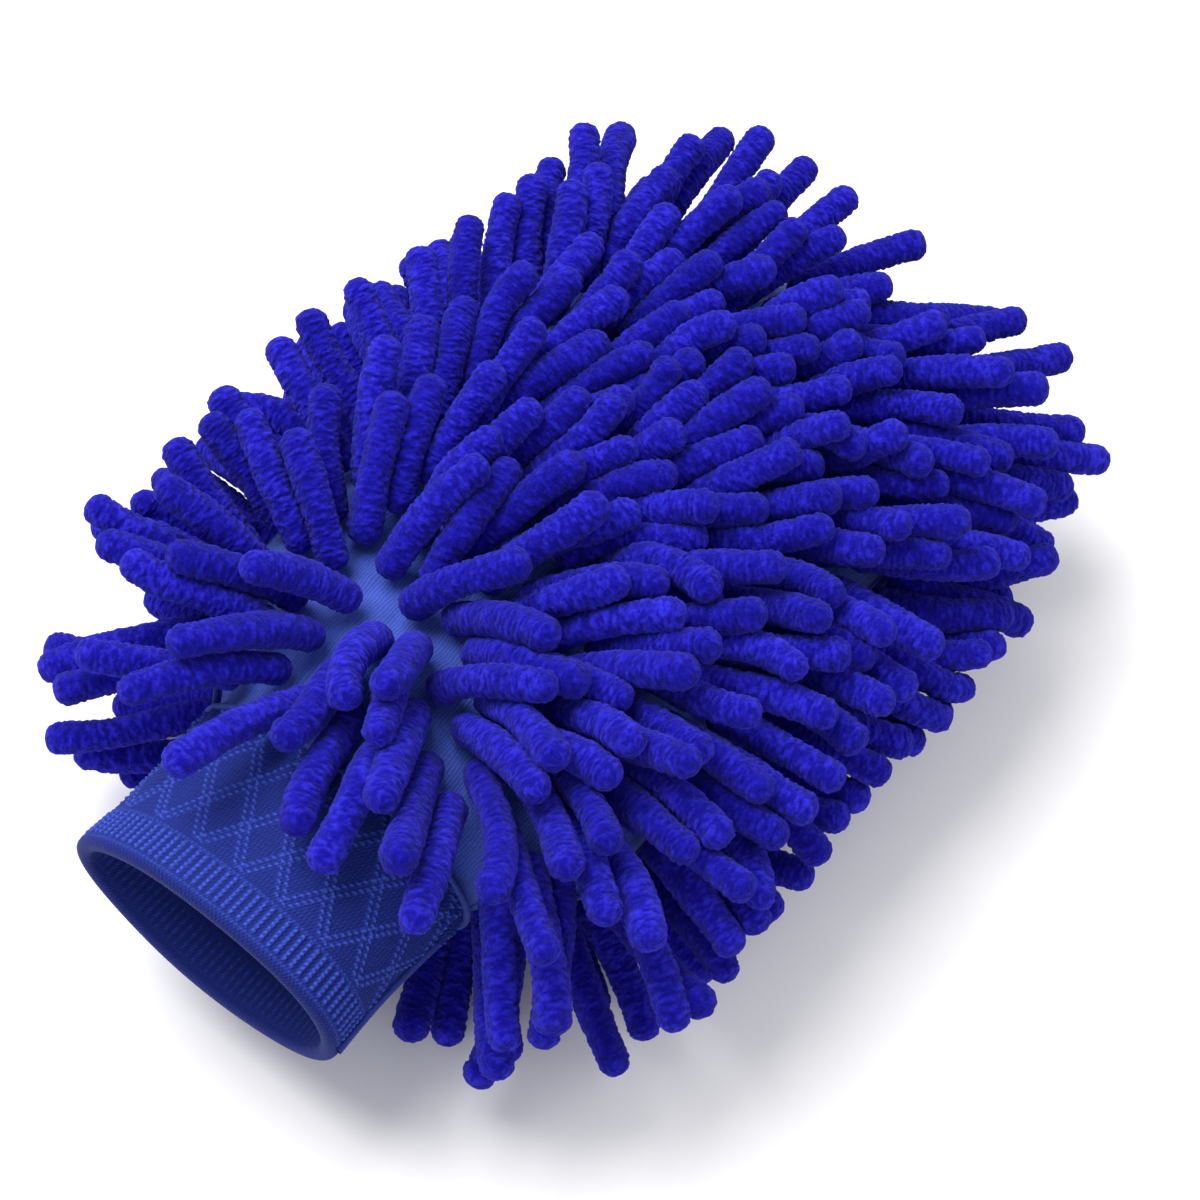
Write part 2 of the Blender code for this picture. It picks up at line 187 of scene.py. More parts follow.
def grid_quads(rows, columns, wrap=False, first=0):
    """Corner numbers of a grid of points, rows x columns, closed round its columns if wrap is set."""
    row = np.arange(rows - 1)[:, None]
    column = np.arange(columns if wrap else columns - 1)[None, :]
    nextc = (column + 1) % columns
    a = row * columns + column
    b = row * columns + nextc
    return first + np.stack([a, b, b + columns, a + columns], axis=-1).reshape(-1, 4)


def point_attribute(obj, name, values):
    attribute = obj.data.attributes.new(name, "FLOAT", "POINT")
    attribute.data.foreach_set("value", np.asarray(values, np.float32).ravel())


def set_uv(obj, uv):
    """UVs in millimetres of cloth, one pair for each vertex."""
    layer = obj.data.uv_layers.new(name="cloth")
    corners = np.zeros(len(obj.data.loops), np.int32)
    obj.data.loops.foreach_get("vertex_index", corners)
    layer.data.foreach_set("uv", np.asarray(uv, np.float32).reshape(-1, 2)[corners].ravel())


# ---------------------------------------------------------------- noodles


def lane_roots(distance, side, stagger):
    """(s, angle) of each noodle's root on the lane that runs at one distance from the crown."""
    s = np.linspace(LANE_START, POUCH_LENGTH, 400)
    angles = np.linspace(0, math.pi / 2, 65)
    section = pouch_point(s[:, None], angles[None, :], side)
    steps = np.linalg.norm(np.diff(section, axis=1), axis=-1)
    arc = np.concatenate([np.zeros((len(s), 1)), np.cumsum(steps, axis=1)], axis=1)
    angle = np.array([np.interp(abs(distance), row, angles) for row in arc]) * np.sign(distance)
    inside = (abs(distance) <= arc[:, -1] - SEAM_MARGIN) & (
        pouch_normal(s, angle, side)[:, 0] < NOSE_LIMIT
    )
    s, angle = s[inside], angle[inside]
    path = pouch_point(s, angle, side)
    steps = np.linalg.norm(np.diff(path, axis=0), axis=-1)
    along = np.concatenate([[0.0], np.cumsum(steps)])
    first = LANE_START + MOUTH_PITCH / 2 * stagger
    close = first + MOUTH_PITCH * np.arange(5)
    count = int((along[-1] - close[-1]) / NOODLE_PITCH)
    places = np.concatenate([close, close[-1] + NOODLE_PITCH * (1 + np.arange(count))])
    places = np.clip(places + rng.uniform(-0.0022, 0.0022, len(places)), 0, along[-1])
    angle = angle + rng.uniform(-0.012, 0.012, len(angle))[0]
    return np.interp(places, along, s), np.interp(places, along, angle)


# brush strokes over the upper side: where, in millimetres of the mitt frame, and which way in degrees
STROKES = (
    (4, 54, 128), (8, 50, 136), (12, 58, 118), (22, 48, 136), (12, 30, 150), (24, 30, 146), (36, 52, 72),
    (44, 36, 36), (52, 24, 2), (25, 12, 205), (29, -2, 245), (10, 5, 180), (13, -15, 208), (8, -40, 222),
    (14, -38, 228), (41, -14, 300), (40, -38, 252), (60, -58, 264), (107, -60, 272), (155, -58, 286),
    (190, -38, 304), (145, 12, 318), (100, 16, 328), (65, 10, 315), (82, -22, 306), (77, -46, 288),
    (125, -35, 290), (70, 38, 2), (105, 34, 340), (50, 62, 98), (70, 62, 80), (94, 62, 56), (120, 62, 44),
    (150, 60, 32), (175, 52, 20), (195, 28, 342), (160, 34, 338), (170, -20, 308), (130, 44, 350),
)


# where the pile parts, and the finger corner over which it fans out and is longest
PARTING_POINT = np.array((0.034, 0.008))
PARTING_REACH = 0.013
CORNER_WAY = np.array((0.638, -0.766, 0.0))
CORNER_START = 0.105
CORNER_SPAN = 0.030
CORNER_GROWTH = 0.16

# how far the pile may stand past the CAD's sides, how near the side seam noodles start to lie across it,
# and how much longer they are where they hang over the cuff
SPREAD = 0.0095
SEAM_REACH = 0.015
CUFF_GROWTH = 0.15

STROKE_REACH = 10.0
FAN_CENTRE = 0.040


def comb_field(points, side):
    """The way the pile lies: brushed by the strokes on the upper side, fanned out on the lower one."""
    x, y = points[:, 0], points[:, 1]
    if side > 0:
        strokes = np.array(STROKES, float)
        gap = ((points[:, None, :2] * 1000 - strokes[None, :, :2]) ** 2).sum(-1)
        weight = np.exp(-gap / (2 * STROKE_REACH**2)) + 1e-6 / (gap + 1)
        way = np.radians(strokes[:, 2])
        flow = np.stack([weight @ np.cos(way), weight @ np.sin(way), 0 * x], axis=-1)
        return unit(flow)
    ahead = x - FAN_CENTRE
    flow_x = np.where(ahead < 0, 1.6 * ahead - 0.006, ahead + 0.006)
    return unit(np.stack([flow_x, 1.15 * y, 0 * x], axis=-1))


def over_cuff(roots):
    """1 for the roots nearest the mouth, whose noodles hang over the cuff, falling to 0 past the parting."""
    return smoothstep((0.032 - roots[:, 0]) / 0.016)


def rotate_about(vectors, axes, angles):
    c, s = np.cos(angles)[:, None], np.sin(angles)[:, None]
    return vectors * c + np.cross(axes, vectors) * s + axes * (vectors * axes).sum(1)[:, None] * (1 - c)


# a noodle's nodes, the height of its root over the cloth and how much it sways sideways
NODES = 11
ROOT_HEIGHT = 0.0026
SWAY = 0.13


def rest_noodles(roots, normals, sides, lengths):
    """First shape of the noodles: arcs that leave the cloth and turn the way the pile is combed."""
    flow = comb_field(roots, 1)
    flow[sides < 0] = comb_field(roots[sides < 0], -1)
    corner = smoothstep((roots @ CORNER_WAY - CORNER_START) / CORNER_SPAN)
    flow = unit(flow + 1.5 * corner[:, None] * CORNER_WAY)
    parted = np.exp(-((roots[:, :2] - PARTING_POINT) ** 2).sum(1) / (2 * PARTING_REACH**2)) * (sides > 0)
    turned = rng.normal(0, 0.20, len(roots)) + parted * rng.normal(0, 0.55, len(roots))
    flow = rotate_about(flow, np.array([[0.0, 0.0, 1.0]]), turned)
    edge = smoothstep((np.abs(roots[:, 1]) - 0.030) / 0.025)
    drooping = -0.20 - 0.30 * np.exp(-(((roots[:, 0] - 0.055) / 0.025) ** 2))
    drooping = drooping * (1 - smoothstep((roots[:, 0] - 0.125) / 0.03))
    rise = np.where(sides < 0, -0.10, np.where(roots[:, 1] > 0, 0.30, drooping)) * edge
    near_seam = smoothstep((SEAM_REACH - np.abs(roots[:, 2])) / (SEAM_REACH / 2)) * edge
    rise = rise * (1 - near_seam) - 0.38 * sides * near_seam
    flow[:, 2] += rise + rng.normal(0, 0.08, len(roots))
    flow = unit(flow)
    near_parting = np.exp(-(((roots[:, 0] - 0.035) / 0.022) ** 2))
    hanging = over_cuff(roots)
    first = (1.05 + 0.3 * near_parting) * rng.uniform(0.75, 1.3, len(roots))
    first = first + 0.6 * parted - 0.5 * corner - 0.35 * hanging
    last = 0.36 + rng.normal(0, 0.10, len(roots)) + 0.15 * parted - 0.25 * corner - 0.22 * hanging
    start = unit(flow + normals * first[:, None])
    end = unit(flow + normals * last[:, None])
    share = smoothstep(np.linspace(0, 1.15, NODES - 1))[None, :, None]
    ways = unit(start[:, None] * (1 - share) + end[:, None] * share)
    across = unit(np.cross(normals, flow) + 1e-9)[:, None]
    sway = rng.normal(0, SWAY, (len(roots), 1, 1)) * np.linspace(-0.6, 1.4, NODES - 1)[None, :, None] ** 2
    ways = unit(ways + across * sway)
    steps = ways * (lengths / (NODES - 1))[:, None, None]
    base = roots + normals * ROOT_HEIGHT
    return base[:, None] + np.concatenate([np.zeros((len(roots), 1, 3)), np.cumsum(steps, axis=1)], axis=1)


def body_tree():
    """A coarse closed surface of the pouch and cuff, for the noodles to lie on."""
    nose = np.sin(np.linspace(0.05, math.pi / 2, 22))
    nose_part = POUCH_LENGTH - NOSE_LENGTH * (1 - nose)
    s = np.concatenate([np.linspace(0, POUCH_LENGTH - NOSE_LENGTH, 40), nose_part])
    turn = np.linspace(-math.pi / 2, math.pi / 2, 41)
    top = pouch_point(s[:, None], turn[None, :], 1)
    bottom = pouch_point(s[:, None], turn[None, ::-1], -1)
    loop = np.concatenate([top, bottom], axis=1)
    around = loop[0]
    cuff_rows = []
    for x in (-GATHER_LENGTH - CUFF_LENGTH, -0.028, -GATHER_LENGTH, -0.004):
        row = around.copy()
        row[:, 0] = x
        cuff_rows.append(row)
    rows = np.concatenate([np.array(cuff_rows), loop])
    count = rows.shape[1]
    return BVHTree.FromPolygons(
        [Vector(p) for p in rows.reshape(-1, 3)],
        [list(map(int, q[::-1])) for q in grid_quads(len(rows), count, wrap=True)],
    )


def push_out(points, tree, clearance):
    """Moves points out of the body, to at least their clearance from its surface."""
    flat = points.reshape(-1, 3)
    need = clearance.ravel()
    for i in range(len(flat)):
        p = Vector(flat[i])
        near, normal, _, distance = tree.find_nearest(p)
        if near is None:
            continue
        away = p - near
        outward = Vector((0.15 * (near.x - BODY_MIDDLE), near.y, near.z * 1.5))
        if normal.dot(outward) < 0:
            normal = -normal
        height = away.dot(normal)
        if height < need[i]:
            flat[i] += np.array(normal) * (need[i] - height)
    return flat.reshape(points.shape)


def near_pairs(flat, owner, reach):
    """Pairs of points of different noodles that are within reach."""
    firsts, seconds = [], []
    for start in range(0, len(flat), 400):
        block = flat[start : start + 400]
        gap = ((block[:, None] - flat[None]) ** 2).sum(-1)
        i, j = np.nonzero(gap < reach * reach)
        i = i + start
        keep = (i < j) & (owner[i] != owner[j])
        firsts.append(i[keep])
        seconds.append(j[keep])
    return np.concatenate(firsts), np.concatenate(seconds)


# contact between noodles: how far apart points are looked at, how far two noodles may press into each
# other, how much of an overlap one pass undoes, and the most that a point moves in it
CONTACT_REACH = 0.0125
SOFT_CONTACT = 0.97
PUSH_SHARE = 0.22
LARGEST_PUSH = 0.0012
LOWEST_ROOT = 0.0020
BODY_MIDDLE = 0.09
FLATTENED = 0.80


def settle(points, lengths, radii, side_sign, rounds):
    """Lays the noodles on each other and on the body: they keep their length and push each other aside."""
    tree = body_tree()
    rest = points.copy()
    count = len(points)
    owner = np.repeat(np.arange(count), NODES)
    thick = np.repeat(radii, NODES)
    step = (lengths / (NODES - 1))[:, None]
    mobility = np.clip((np.arange(NODES) - 0.5) / 3.0, 0.0, 1.0)
    mobility[0] = 0.0
    clearance = np.clip(np.arange(NODES) / 2.0, 0.0, 1.0)[None, :] * radii[:, None] * SOFT_CONTACT
    clearance[:, 0] = LOWEST_ROOT
    floor = -ORIGIN[2] + radii[:, None] * FLATTENED
    least_y = cad_box[0][1] - SPREAD - ORIGIN[1]
    most_y = cad_box[1][1] + SPREAD - ORIGIN[1]
    press = np.zeros((count, 1, 3))
    press[..., 2] = (np.where(side_sign > 0, -0.00005, 0.00002) * (np.abs(points[:, 0, 1]) < 0.045))[:, None]
    pairs = None
    for turn in range(rounds):
        points = points + press * mobility[None, :, None]
        shift = points - rest
        smooth = shift.copy()
        smooth[:, 1:-1] = (shift[:, :-2] + 2 * shift[:, 1:-1] + shift[:, 2:]) / 4
        smooth[:, -1] = (shift[:, -2] + shift[:, -1]) / 2
        points = rest + shift * 0.3 + smooth * 0.7 * 0.992
        for _ in range(2):
            if turn % 8 == 0 or pairs is None:
                pairs = near_pairs(points.reshape(-1, 3), owner, CONTACT_REACH)
            flat = points.reshape(-1, 3)
            i, j = pairs
            apart = flat[i] - flat[j]
            gap = np.linalg.norm(apart, axis=1)
            lack = np.maximum(0.0, (thick[i] + thick[j]) * SOFT_CONTACT - gap)
            hit = lack > 0
            i, j, apart, gap, lack = i[hit], j[hit], apart[hit], gap[hit], lack[hit]
            push = apart / np.maximum(gap, 1e-6)[:, None] * (lack * PUSH_SHARE)[:, None]
            move = np.zeros_like(flat)
            np.add.at(move, i, push)
            np.add.at(move, j, -push)
            size = np.linalg.norm(move, axis=1, keepdims=True)
            move *= np.minimum(1.0, LARGEST_PUSH / np.maximum(size, 1e-9))
            points = points + move.reshape(points.shape) * mobility[None, :, None]
        for k in range(1, NODES):
            along = unit(points[:, k] - points[:, k - 1])
            points[:, k] = points[:, k - 1] + along * step
        if turn % 3 == 0 or turn > rounds - 6:
            points = push_out(points, tree, clearance)
            points[..., 2] = np.maximum(points[..., 2], floor)
            points[..., 1] = np.clip(points[..., 1], least_y, most_y)
    for k in range(1, NODES):
        along = unit(points[:, k] - points[:, k - 1])
        points[:, k] = points[:, k - 1] + along * step
    return points


def resample(points, shares):
    """Points along smooth curves through the nodes, at shares from 0 to 1."""
    count = points.shape[1]
    padded = np.concatenate(
        [2 * points[:, :1] - points[:, 1:2], points, 2 * points[:, -1:] - points[:, -2:-1]], axis=1
    )
    place = np.clip(shares * (count - 1), 0, count - 1 - 1e-9)
    i = place.astype(int)
    t = (place - i)[None, :, None]
    a, b, c, d = padded[:, i], padded[:, i + 1], padded[:, i + 2], padded[:, i + 3]
    return 0.5 * (2 * b + (c - a) * t + (2 * a - 5 * b + 4 * c - d) * t**2 + (3 * b - a - 3 * c + d) * t**3)


# a noodle's mesh: points round it and rings along it, and the height of its crinkles and stray fibres
AROUND = 40
ALONG = 116
CRINKLE = 0.00030
STRAY = 0.00010


def noodle_relief(count):
    """Height of the crinkled pile over each noodle, from crooked rings and finer grains."""
    s = np.linspace(0, 1, ALONG)[None, :, None] * (NOODLE_LENGTH * 1000)
    phi = (np.arange(AROUND) * 2 * math.pi / AROUND)[None, None, :]
    height = np.zeros((count, ALONG, AROUND))
    for _ in range(6):
        pitch = rng.uniform(0.85, 1.7, (count, 1, 1))
        phase = rng.uniform(0, 6.28, (count, 1, 1))
        for k, amount in ((1, 1.1), (2, 0.9), (3, 0.7), (5, 0.45)):
            phase = phase + amount * rng.normal(0, 1, (count, 1, 1)) * np.sin(
                k * phi + rng.uniform(0, 6.28, (count, 1, 1)) + s * rng.uniform(-0.25, 0.25, (count, 1, 1))
            )
        height += np.cos(6.283 * s / pitch + phase)
    height /= 3.0
    grains = rng.normal(0, 1, (count, ALONG, AROUND))
    grains = 0.5 * grains + 0.25 * (np.roll(grains, 1, 2) + np.roll(grains, -1, 2))
    grains = 0.5 * grains + 0.25 * (np.roll(grains, 1, 1) + np.roll(grains, -1, 1))
    grains /= grains.std()
    return np.tanh(0.20 * height + 0.60 * grains + 0.18 * rng.normal(0, 1, grains.shape))


def noodle_meshes(centres, radii, lengths, lanes, names):
    """One mesh for each lane, of its noodles' fuzzy round-ended tubes."""
    count = len(centres)
    shares = np.linspace(0, 1, ALONG)
    ends = shares[None, :] * lengths[:, None]
    round_start = np.clip(ends / (radii[:, None] * 0.95), 0, 1)
    round_end = np.clip((lengths[:, None] - ends) / (radii[:, None] * 0.95), 0, 1)
    taper = np.sqrt(1 - (1 - round_start) ** 2) * np.sqrt(1 - (1 - round_end) ** 2)
    waves, phases = rng.uniform(5, 11, (count, 1)), rng.uniform(0, 6.28, (count, 1))
    slow = 1 + 0.05 * np.sin(shares[None, :] * waves + phases)
    line = resample(centres, shares)
    tangent = unit(np.gradient(line, axis=1))
    side = np.cross(tangent[:, 0], np.array([0.3, 0.2, 0.93]))
    sides = [unit(side)]
    for k in range(1, ALONG):
        previous = sides[-1]
        sides.append(unit(previous - tangent[:, k] * (previous * tangent[:, k]).sum(1)[:, None]))
    side = np.stack(sides, axis=1)
    other = np.cross(tangent, side)
    phi = np.arange(AROUND) * 2 * math.pi / AROUND
    relief = noodle_relief(count)
    fade = np.minimum(1.0, taper * 1.4)[..., None]
    radius = radii[:, None, None] * (taper * slow)[..., None] + CRINKLE * relief * fade
    rim = side[:, :, None] * np.cos(phi)[:, None] + other[:, :, None] * np.sin(phi)[:, None]
    points = line[:, :, None] + rim * radius[..., None]
    points = points + tangent[:, :, None] * (STRAY * rng.normal(0, 1, relief.shape) * fade)[..., None]
    points[..., 2] = np.maximum(points[..., 2], -ORIGIN[2] + 0.0001)
    tone = rng.uniform(0, 1, count)
    quads = grid_quads(ALONG, AROUND, wrap=True)
    size = ALONG * AROUND
    first_ring = np.arange(AROUND)
    start_fan = np.stack([np.roll(first_ring, -1), first_ring, np.full(AROUND, size)], axis=1)
    last_ring = size - AROUND + first_ring
    end_fan = np.stack([last_ring, np.roll(last_ring, -1), np.full(AROUND, size + 1)], axis=1)
    made = []
    for lane, name in enumerate(names):
        members = np.nonzero(lanes == lane)[0]
        all_points, all_quads, all_tris, pile, tones = [], [], [], [], []
        for order, m in enumerate(members):
            base = order * (size + 2)
            all_points.append(points[m].reshape(-1, 3))
            all_points.append(line[m][[0, -1]])
            all_quads.append(quads + base)
            all_tris.append(np.concatenate([start_fan, end_fan]) + base)
            # the crinkle height, kept as the pile attribute; the chenille colour turns it into painted light
            # on crests and painted shade in valleys
            pile.append(np.append(relief[m].ravel() * 0.5 + 0.5, [0.5, 0.5]))
            tones.append(np.full(size + 2, tone[m]))
        faces = np.concatenate(all_quads), np.concatenate(all_tris)
        obj = new_mesh(name, np.concatenate(all_points), *faces)
        point_attribute(obj, "pile", np.concatenate(pile))
        point_attribute(obj, "tone", np.concatenate(tones))
        made.append(obj)
    return made


# ---------------------------------------------------------------- materials


def principled(name, roughness=0.9, sheen=0.0, sheen_roughness=0.4, sheen_tint=(1, 1, 1), specular=0.2):
    """A material with its node tree and its shader."""
    material = bpy.data.materials.new(name)
    material.use_nodes = True
    shader = material.node_tree.nodes["Principled BSDF"]
    shader.inputs["Roughness"].default_value = roughness
    shader.inputs["Specular IOR Level"].default_value = specular
    shader.inputs["Sheen Weight"].default_value = sheen
    shader.inputs["Sheen Roughness"].default_value = sheen_roughness
    shader.inputs["Sheen Tint"].default_value = (*sheen_tint, 1)
    return material, material.node_tree, shader


def node(tree, kind, **settings):
    made = tree.nodes.new(kind)
    for key, value in settings.items():
        if key in made.inputs:
            made.inputs[key].default_value = value
        else:
            setattr(made, key, value)
    return made


def ramp(tree, fac, stops):
    """Colours between stops, given in rising order."""
    made = tree.nodes.new("ShaderNodeValToRGB")
    tree.links.new(fac, made.inputs["Fac"])
    elements = made.color_ramp.elements
    while len(elements) < len(stops):
        elements.new(0.5)
    for i, (place, colour) in enumerate(stops):
        elements[i].position = place
        elements[i].color = (*colour, 1)
    return made.outputs["Color"]


def maths(tree, operation, a, b):
    made = tree.nodes.new("ShaderNodeMath")
    made.operation = operation
    for socket, value in zip(made.inputs, (a, b)):
        if isinstance(value, (int, float)):
            socket.default_value = value
        else:
            tree.links.new(value, socket)
    return made.outputs[0]


def chenille_material():
    """Deep blue microfibre: a fine uneven fuzz, with painted light on its crests and painted shade in the
    valleys between them, and a little lighter at grazing angles from the shader's sheen.
    """
    material, tree, shader = principled(
        "chenille",
        roughness=1.0,
        sheen=0.13,
        sheen_roughness=0.5,
        sheen_tint=(0.50, 0.52, 1.0),
        specular=0.05,
    )
    coordinates = node(tree, "ShaderNodeTexCoord")
    fuzz = node(tree, "ShaderNodeTexNoise", Scale=1500.0, Detail=5.0, Roughness=0.7, Distortion=0.4)
    tree.links.new(coordinates.outputs["Object"], fuzz.inputs["Vector"])
    tufts = node(tree, "ShaderNodeTexVoronoi", Scale=950.0, Randomness=1.0)
    tree.links.new(coordinates.outputs["Object"], tufts.inputs["Vector"])
    broad = node(tree, "ShaderNodeTexNoise", Scale=90.0, Detail=2.0)
    tree.links.new(coordinates.outputs["Object"], broad.inputs["Vector"])
    pile = node(tree, "ShaderNodeAttribute", attribute_name="pile")
    tone = node(tree, "ShaderNodeAttribute", attribute_name="tone")
    # painted light and shade: the pile height makes the crinkles' crests lighter and the valleys between them
    # darker
    value = maths(tree, "MULTIPLY", pile.outputs["Fac"], 0.36)
    value = maths(tree, "ADD", value, maths(tree, "MULTIPLY", fuzz.outputs["Fac"], 0.38))
    value = maths(tree, "ADD", value, maths(tree, "MULTIPLY", tone.outputs["Fac"], 0.12))
    value = maths(tree, "ADD", value, maths(tree, "MULTIPLY", broad.outputs["Fac"], 0.16))
    colour = ramp(
        tree,
        value,
        [(0.27, (0.003, 0.002, 0.17)), (0.54, (0.009, 0.006, 0.35)), (0.82, (0.034, 0.031, 0.74))],
    )
    tree.links.new(colour, shader.inputs["Base Color"])
    pits = maths(tree, "MULTIPLY", tufts.outputs["Distance"], 0.6)
    height = maths(tree, "SUBTRACT", fuzz.outputs["Fac"], pits)
    bump = node(tree, "ShaderNodeBump", Strength=0.8, Distance=0.0008)
    tree.links.new(height, bump.inputs["Height"])
    tree.links.new(bump.outputs["Normal"], shader.inputs["Normal"])
    return material


def knit_material(name, dark, light, wale, course, sheen, roughness=0.8, strength=0.35):
    """A fine knit: wales and courses in the cloth's own millimetres, from waves crossed at right angles."""
    material, tree, shader = principled(
        name,
        roughness=roughness,
        sheen=sheen,
        sheen_roughness=0.35,
        sheen_tint=(0.45, 0.55, 1.0),
        specular=0.25,
    )
    uv = node(tree, "ShaderNodeUVMap", uv_map="cloth")
    warp = node(tree, "ShaderNodeTexNoise", Scale=0.12, Detail=2.0)
    tree.links.new(uv.outputs["UV"], warp.inputs["Vector"])
    split = node(tree, "ShaderNodeSeparateXYZ")
    tree.links.new(uv.outputs["UV"], split.inputs["Vector"])
    wobble = maths(tree, "MULTIPLY", warp.outputs["Fac"], 2.5)
    u = maths(tree, "ADD", split.outputs["X"], wobble)
    v = split.outputs["Y"]
    columns = maths(tree, "SINE", maths(tree, "MULTIPLY", u, 2 * math.pi / wale), 0)
    zigzag = maths(tree, "MULTIPLY", maths(tree, "ABSOLUTE", columns, 0), 0.5 * course)
    rows = maths(
        tree, "SINE", maths(tree, "MULTIPLY", maths(tree, "ADD", v, zigzag), 2 * math.pi / course), 0
    )
    height = maths(tree, "ADD", maths(tree, "MULTIPLY", columns, 0.30), maths(tree, "MULTIPLY", rows, 0.20))
    height = maths(tree, "ADD", height, 0.5)
    grain = node(tree, "ShaderNodeTexNoise", Scale=1.4, Detail=3.0)
    tree.links.new(uv.outputs["UV"], grain.inputs["Vector"])
    speckle = maths(tree, "MULTIPLY", grain.outputs["Fac"], 0.5)
    value = maths(tree, "ADD", maths(tree, "MULTIPLY", height, 0.55), speckle)
    tree.links.new(ramp(tree, value, [(0.2, dark), (0.85, light)]), shader.inputs["Base Color"])
    bump = node(tree, "ShaderNodeBump", Strength=strength, Distance=0.0003)
    tree.links.new(height, bump.inputs["Height"])
    tree.links.new(bump.outputs["Normal"], shader.inputs["Normal"])
    return material


def cuff_material():
    """Elastic knit: painted shade between its raised stitches and over the rolled rim and inner wall, with a
    fine twill of yarn over everything.
    """
    material, tree, shader = principled(
        "cuff_knit",
        roughness=0.8,
        sheen=0.06,
        sheen_roughness=0.4,
        sheen_tint=(0.5, 0.6, 1.0),
        specular=0.18,
    )
    uv = node(tree, "ShaderNodeUVMap", uv_map="cloth")
    split = node(tree, "ShaderNodeSeparateXYZ")
    tree.links.new(uv.outputs["UV"], split.inputs["Vector"])
    relief = node(tree, "ShaderNodeAttribute", attribute_name="relief")
    round_turns = maths(tree, "MULTIPLY", split.outputs["X"], 7.6)
    twist = maths(tree, "ADD", round_turns, maths(tree, "MULTIPLY", split.outputs["Y"], 4.4))
    yarn = maths(tree, "SINE", twist, 0)
    grain = node(tree, "ShaderNodeTexNoise", Scale=2.2, Detail=3.0)
    tree.links.new(uv.outputs["UV"], grain.inputs["Vector"])
    # painted shade: the relief attribute darkens the hollows between raised stitches and the cuff's rolled
    # rim and inner wall
    value = maths(tree, "MULTIPLY", relief.outputs["Fac"], 0.62)
    value = maths(tree, "ADD", value, maths(tree, "MULTIPLY", yarn, 0.06))
    value = maths(tree, "ADD", value, maths(tree, "MULTIPLY", grain.outputs["Fac"], 0.36))
    stops = [(0.14, (0.002, 0.005, 0.075)), (0.44, (0.009, 0.022, 0.20)), (0.85, (0.044, 0.088, 0.54))]
    colour = ramp(tree, value, stops)
    tree.links.new(colour, shader.inputs["Base Color"])
    height = maths(tree, "ADD", maths(tree, "MULTIPLY", yarn, 0.25), grain.outputs["Fac"])
    bump = node(tree, "ShaderNodeBump", Strength=0.5, Distance=0.0003)
    tree.links.new(height, bump.inputs["Height"])
    tree.links.new(bump.outputs["Normal"], shader.inputs["Normal"])
    return material


# ---------------------------------------------------------------- build


def blend_over_wrist(obj):
    """Bakes the object's placement into its mesh."""
    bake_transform(obj)


def chenille():
    """The noodles of both sides, one mesh for each stitched row."""
    roots, normals, sides, lanes, names = [], [], [], [], []
    for side, label in ((1, "top"), (-1, "bottom")):
        for i in range(2 * LANES_EACH_SIDE):
            distance = (i - LANES_EACH_SIDE + 0.5) * LANE_SPACING
            s, angle = lane_roots(distance, side, i % 2)
            roots.append(pouch_point(s, angle, side))
            normals.append(pouch_normal(s, angle, side))
            sides.append(np.full(len(s), side))
            lanes.append(np.full(len(s), len(names)))
            names.append(f"{label}_noodle_row_{i + 1:02d}")
    roots, normals = np.concatenate(roots), np.concatenate(normals)
    sides, lanes = np.concatenate(sides), np.concatenate(lanes)
    count = len(roots)
    corner = smoothstep((roots @ CORNER_WAY - CORNER_START) / CORNER_SPAN)
    lengths = NOODLE_LENGTH * rng.uniform(0.92, 1.06, count)
    lengths = lengths * (1 + CORNER_GROWTH * corner + CUFF_GROWTH * over_cuff(roots))
    radii = NOODLE_RADIUS * rng.uniform(0.94, 1.05, count)
    points = rest_noodles(roots, normals, sides, lengths)
    points = settle(points, lengths, radii, sides, 90)
    material = chenille_material()
    made = noodle_meshes(points, radii, lengths, lanes, [n + "_chenille" for n in names])
    for obj, name in zip(made, names):
        obj.data.materials.append(material)
        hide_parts(name)
        blend_over_wrist(obj)


